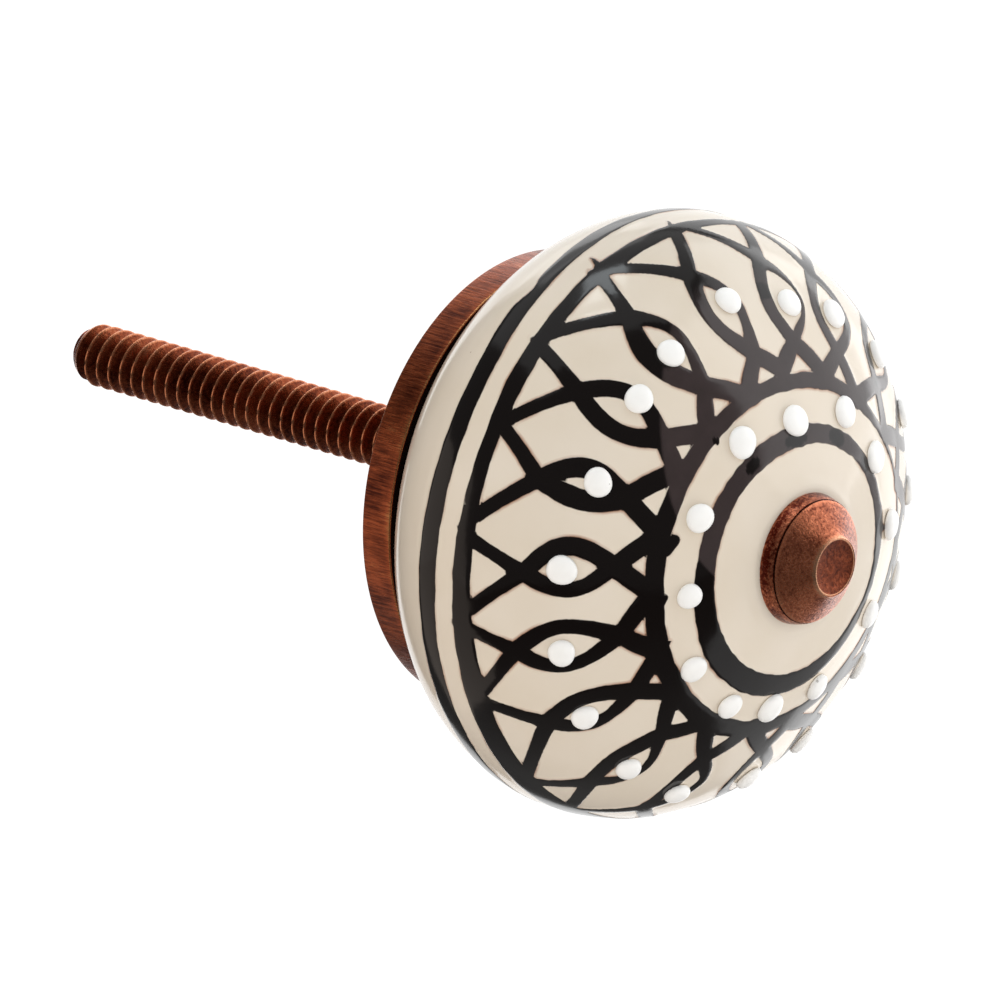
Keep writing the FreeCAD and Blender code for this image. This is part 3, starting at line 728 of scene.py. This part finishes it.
def rod_grid():
    """The rod from its dished front end to its tip, and how much it is rubbed. r is the bar's radius less
    THREAD_DEPTH times (1 - h), and THREAD_DEPTH runs out inside the cap. h climbs straight from 0 at the root
    to 1 at the crest over half a pitch, with FLAT_SHARE clipped at both ends, at (forward / pitch + turn /
    360). The tip tapers by TIP_DEPTH t^1.3. Rows follow the thread by a part of a row, so that every crest
    falls on points of the grid."""
    step = THREAD_PITCH / ROWS_A_PITCH
    turn = np.arange(ROD_COLUMNS) / ROD_COLUMNS
    front = lip_height - ROD_RECESS
    dish = np.linspace(0, 1, 12)
    dish_rows = front - DISH_DEPTH * (1 - dish**3)
    inside = np.arange(front - 0.08, FINE_START, -3 * step)
    tail = np.arange(FINE_START, -TAIL_LENGTH + 0.05, -step)
    end = np.full(3, -TAIL_LENGTH)
    forward = np.concatenate([dish_rows, inside, tail, end])
    follow = np.concatenate([
        np.zeros(len(dish_rows) + len(inside)), np.minimum(1, np.arange(len(tail)) / 3), np.zeros(3),
    ])
    follow[-8:-3] = np.linspace(1, 0, 5)
    forward = forward[:, None] - follow[:, None] * step * (ROWS_A_PITCH * turn[None, :] % 1)
    limit = np.concatenate([
        MATE_RADIUS * dish, np.full(len(inside) + len(tail), ROD_RADIUS),
        (ROD_RADIUS - TIP_DEPTH) * np.array([0.94, 0.5, 0]),
    ])[:, None]
    nut_back = BASE_HEIGHT - BASE_WEB - NUT_THICKNESS
    in_nut = (forward > nut_back - 0.1) & (forward < nut_back + NUT_THICKNESS + 0.1)
    bar = np.where((forward > seat) | in_nut, MATE_RADIUS, ROD_RADIUS)
    to_tip = np.clip((TIP_LENGTH - TAIL_LENGTH - forward) / TIP_LENGTH, 0, 1)
    limit = np.minimum(limit, ROD_RADIUS - TIP_DEPTH * to_tip**1.3)
    to_crest = np.abs((forward / THREAD_PITCH + turn[None, :]) % 1 - 0.5) * 2
    height = np.clip((to_crest - FLAT_SHARE) / (1 - 2 * FLAT_SHARE), 0, 1)
    cut = THREAD_DEPTH * (1 - smooth_step(seat + 0.5, seat + 1.5, forward))
    across = np.minimum(bar - cut * (1 - height), limit)
    wear_and_shade_marks = smooth_step(0.72, 1, to_crest) * (across > 0.8 * ROD_RADIUS) * (forward < FINE_START)
    return turned_points(across, forward, TURN * turn[None, :]), wear_and_shade_marks


points, wear_and_shade_marks = rod_grid()
rod = surface("copper_threaded_rod", points, ROD_COPPER, {"wear_and_shade": wear_and_shade_marks}, closed=False)

for piece, replaced, slot in (
    (ceramic, "ceramic_knob", "glazed_ceramic"),
    (dots, "ceramic_knob", "glazed_ceramic"),
    (base, "base_cup", "antique_copper"),
    (cap, "front_cap", "antique_copper"),
    (rod, "threaded_rod", "copper_plated_steel"),
):
    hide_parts(replaced)
    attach(piece, "root")
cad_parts["clamp_nut"].material_slots[0].material = ROD_COPPER

# The studio: a dim world that the camera sees as white, and a paper floor far below that it sees
# as white too.
DIM_WORLD = 0.12
FLOOR_HEIGHT, FLOOR_REACH = -1.2, 4
WHITE = linear("#ffffff")

world = bpy.data.worlds.new("studio")
bpy.context.scene.world = world
world.use_nodes = True
world.node_tree.nodes.clear()
seen = node(world.node_tree, "LightPath").outputs["Is Camera Ray"]
level = node(world.node_tree, "MapRange", {"Value": seen, "To Min": DIM_WORLD, "To Max": 1.0})
sky = node(world.node_tree, "Background", {"Color": WHITE, "Strength": level.outputs[0]})
node(world.node_tree, "OutputWorld", {"Surface": sky.outputs[0]})

floor_material, tree = finish_named("white_paper_floor")
seen = node(tree, "LightPath").outputs["Is Camera Ray"]
paper = node(tree, "Mix", {0: seen, 6: linear("#a0a0a0"), 7: linear("#f6f6f6")}, data_type="RGBA")
matt = node(tree, "BsdfDiffuse", {"Color": paper.outputs[2]})
glow = node(tree, "Emission", {"Color": WHITE, "Strength": seen})
both = node(tree, "AddShader", {0: matt.outputs[0], 1: glow.outputs[0]})
node(tree, "OutputMaterial", {"Surface": both.outputs[0]})
floor_mesh = bpy.data.meshes.new("floor")
floor_corners = [
    (x * FLOOR_REACH, y * FLOOR_REACH, FLOOR_HEIGHT) for x, y in ((-1, -1), (1, -1), (1, 1), (-1, 1))
]
floor_mesh.from_pydata(floor_corners, [], [(0, 1, 2, 3)])
floor_mesh.materials.append(floor_material)
floor = placed("floor", floor_mesh)


def panel(name, turn, height, distance, width, tall, radiance, colour=(1, 1, 1), mirrored=True):
    """A soft lamp that faces the knob from turn degrees right of the knob's front and height
    degrees up. A square metre of area lamp gives radiance = power / pi."""
    a, e = math.radians(turn), math.radians(height)
    away = Vector((math.sin(a) * math.cos(e), -math.cos(a) * math.cos(e), math.sin(e)))
    lamp = bpy.data.lights.new(name, "AREA")
    lamp.shape = "RECTANGLE"
    lamp.size, lamp.size_y = width, tall
    lamp.energy = radiance * math.pi * width * tall
    lamp.color = colour
    made = placed(name, lamp)
    made.location = away * distance
    made.rotation_mode = "QUATERNION"
    made.rotation_quaternion = away.to_track_quat("Z", "Y")
    made.visible_glossy = mirrored
    made.visible_camera = False


# Windows and backdrops that the glaze and the metal mirror.
panel("right_window", 66, 20, 0.6, 0.82, 0.74, 1.12)
panel("low_window", 66, -31, 0.6, 0.9, 0.5, 0.5)
panel("ceiling", 150, 72, 0.8, 1.1, 1.1, 0.38)
panel("overhead_window", 140, 74, 0.6, 0.16, 0.2, 3.0, (0.9, 0.97, 1.0))
panel("white_backdrop", 123, -8, 0.9, 1.25, 1.4, 1.15)
panel("upper_backdrop", 146, 30, 0.9, 0.45, 0.5, 0.6)
panel("left_backdrop", -136, -18, 0.9, 0.9, 1.3, 0.52, (1.0, 0.85, 0.74))
# Fills that light every side and show in nothing.
panel("rear_fill", -115, -10, 0.9, 1.0, 1.0, 0.7, (1.0, 0.92, 0.82), mirrored=False)
panel("right_fill", 50, -12, 0.8, 1.0, 1.0, 1.1, mirrored=False)
panel("left_fill", -62, 18, 0.8, 1.0, 1.0, 1.38, (1.0, 0.97, 0.93), mirrored=False)
panel("top_fill", -10, 75, 0.8, 1.0, 1.0, 0.85, (0.95, 0.99, 1.0), mirrored=False)
panel("low_fill", -15, -40, 0.8, 1.0, 0.8, 1.35, (1.0, 0.96, 0.91), mirrored=False)

# A long lens from 2.8 m: the photograph shows no perspective. At 15.465 pixels to a millimetre its
# 1000 pixels are 64.66 mm, and the frame's origin falls 15.4 right of and 25.1 above the centre.
VIEW_TURN, VIEW_HEIGHT, VIEW_DISTANCE = math.radians(-48.74), math.radians(19.27), 2.8
PIXELS_PER_MM, FRAME_PIXELS, ORIGIN_RIGHT, ORIGIN_UP = 15.465, 1000, 15.4, 25.1
back = Vector((math.sin(VIEW_TURN) * math.cos(VIEW_HEIGHT), -math.cos(VIEW_TURN) * math.cos(VIEW_HEIGHT),
               math.sin(VIEW_HEIGHT)))
right = Vector((-back.y, back.x, 0)).normalized()
up = back.cross(right)
target = (right * -ORIGIN_RIGHT + up * -ORIGIN_UP) * (MM / PIXELS_PER_MM)
camera = placed("camera", bpy.data.cameras.new("camera"))
camera.data.lens = camera.data.sensor_width * VIEW_DISTANCE / (FRAME_PIXELS * MM / PIXELS_PER_MM)
camera.data.clip_end = 20
camera.location = target + back * VIEW_DISTANCE
camera.rotation_mode = "QUATERNION"
camera.rotation_quaternion = back.to_track_quat("Z", "Y")
bpy.context.scene.camera = camera
bpy.context.scene.view_settings.view_transform = "Standard"
